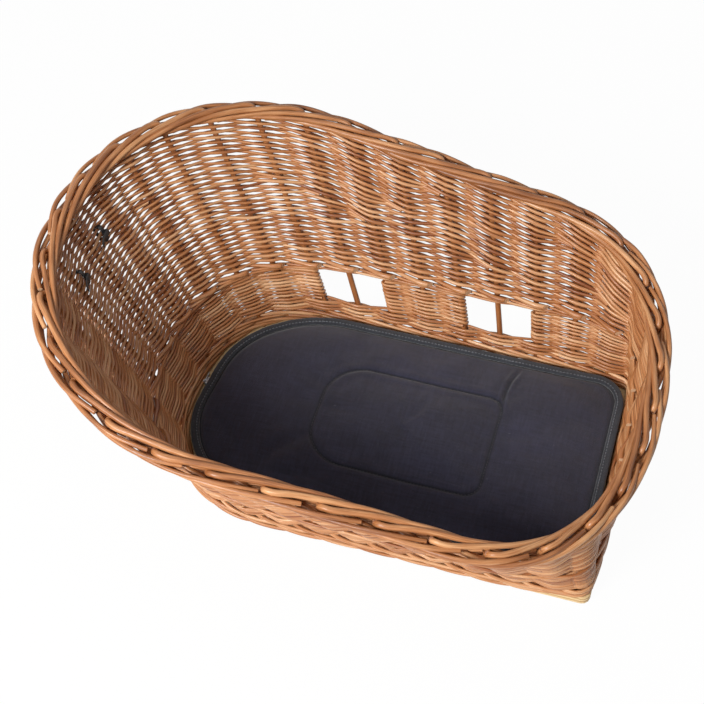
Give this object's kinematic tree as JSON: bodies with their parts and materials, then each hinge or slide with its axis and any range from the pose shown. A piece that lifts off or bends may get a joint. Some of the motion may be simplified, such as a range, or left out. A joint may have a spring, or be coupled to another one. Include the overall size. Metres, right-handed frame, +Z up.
{
  "type": "dog bicycle basket",
  "caption": "D-shaped flared willow basket on a plywood base, sloping rim and strap windows, with a zipped lift-out seat cushion; carries a small dog on a bicycle rack.",
  "frame": {"origin": "middle of the base board's underside, which rests on the carrier", "axes": "+X towards the low square end, -X towards the tall round end, +Y to the basket's left seen from the tall end, +Z up"},
  "size_m": [0.6231, 0.4748, 0.2772],
  "materials": {
    "woven_willow": "satin buff willow rods",
    "stake_willow": "satin willow stake",
    "plywood": "raw pale plywood",
    "cushion_cloth": "charcoal twill",
    "binding_tape": "woven edge tape",
    "foam": "soft upholstery foam",
    "zip_nylon": "coil zip",
    "zip_metal": "plated zip slider",
    "nylon_tie": "black cable tie"
  },
  "bodies": {
    "basket": {"base_board": "plywood", "stake_00": "stake_willow", "stake_01": "stake_willow", "stake_02": "stake_willow", "stake_03": "stake_willow", "stake_04": "stake_willow", "stake_05": "stake_willow", "stake_06": "stake_willow", "stake_07": "stake_willow", "stake_08": "stake_willow", "stake_09": "stake_willow", "stake_10": "stake_willow", "stake_11": "stake_willow", "stake_12": "stake_willow", "stake_13": "stake_willow", "stake_14": "stake_willow", "stake_15": "stake_willow", "stake_16": "stake_willow", "stake_17": "stake_willow", "stake_18": "stake_willow", "stake_19": "stake_willow", "stake_20": "stake_willow", "stake_21": "stake_willow", "stake_22": "stake_willow", "stake_23": "stake_willow", "stake_24": "stake_willow", "stake_25": "stake_willow", "stake_26": "stake_willow", "stake_27": "stake_willow", "stake_28": "stake_willow", "stake_29": "stake_willow", "stake_30": "stake_willow", "stake_31": "stake_willow", "stake_32": "stake_willow", "stake_33": "stake_willow", "foot_wale": "woven_willow", "siding_square_end": "woven_willow", "siding_far_side": "woven_willow", "siding_round_end": "woven_willow", "siding_near_side": "woven_willow", "mid_wale": "woven_willow", "upper_siding": "woven_willow", "border": "woven_willow", "cable_tie_1": "nylon_tie", "cable_tie_2": "nylon_tie"},
    "cushion": {"cushion_foam": "foam", "cushion_top_panel": "cushion_cloth", "cushion_bottom_panel": "cushion_cloth", "cushion_side_band": "cushion_cloth", "cushion_binding": "binding_tape", "zip_chain": "zip_nylon"},
    "slider": {"zip_slider": "zip_metal"},
    "pull": {"zip_pull": "zip_metal"}
  },
  "joints": [
    {"name": "cushion_lift", "type": "slide", "parent": "basket", "child": "cushion", "axis": [0, 0, 1], "range_m": [0, 0.28]},
    {"name": "zip_run", "type": "hinge", "parent": "cushion", "child": "slider", "pos_m": [-0.0927, 0, 0.0206], "axis": [0, 0, 1], "range_deg": [0, 60]},
    {"name": "pull_swing", "type": "hinge", "parent": "slider", "child": "pull", "pos_m": [-0.22297, 0.00683, 0.0206], "axis": [0, 0, 1], "range_deg": [-10, 11]}
  ]
}
